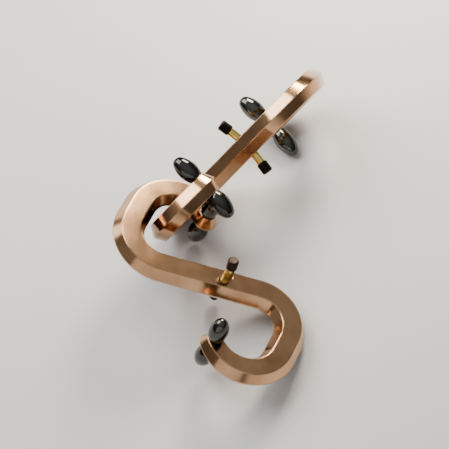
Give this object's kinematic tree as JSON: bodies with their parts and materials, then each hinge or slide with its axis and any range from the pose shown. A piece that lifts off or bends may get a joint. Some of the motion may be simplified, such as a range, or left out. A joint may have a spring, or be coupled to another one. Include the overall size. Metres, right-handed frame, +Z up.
{
  "type": "disentanglement puzzle",
  "caption": "Metal brain teaser: matching S-shaped snakes hooked through each other, each with a bowed pin across the middle and a bulb-ended crossbar at each end.",
  "frame": {"origin": "middle of the bounding box in X and Y, on the surface that the pair lies on", "axes": "+Z up from that surface; +Y runs from the lower snake towards the far end of the raised one; +X to the right of that"},
  "size_m": [0.0816, 0.1074, 0.0387],
  "materials": {
    "antique_copper": "polished antique copper plate",
    "brass": "polished",
    "gunmetal": "dark polished gunmetal plate"
  },
  "bodies": {
    "snake_a": {"snake_a_body": "antique_copper", "snake_a_pin": "brass", "snake_a_pin_cap_front": "gunmetal", "snake_a_pin_cap_back": "gunmetal", "snake_a_head_rod": "brass", "snake_a_head_bulb_front": "gunmetal", "snake_a_head_bulb_back": "gunmetal", "snake_a_tail_rod": "brass", "snake_a_tail_bulb_front": "gunmetal", "snake_a_tail_bulb_back": "gunmetal"},
    "snake_b": {"snake_b_body": "antique_copper", "snake_b_pin": "brass", "snake_b_pin_cap_front": "gunmetal", "snake_b_pin_cap_back": "gunmetal", "snake_b_head_rod": "brass", "snake_b_head_bulb_front": "gunmetal", "snake_b_head_bulb_back": "gunmetal", "snake_b_tail_rod": "brass", "snake_b_tail_bulb_front": "gunmetal", "snake_b_tail_bulb_back": "gunmetal"}
  },
  "joints": [
    {"name": "hook_swing", "type": "hinge", "parent": "snake_a", "child": "snake_b", "pos_m": [-0.01179, 0.02159, 0.0152], "axis": [0.7681, -0.4149, -0.4876], "range_deg": [0, 56]}
  ]
}
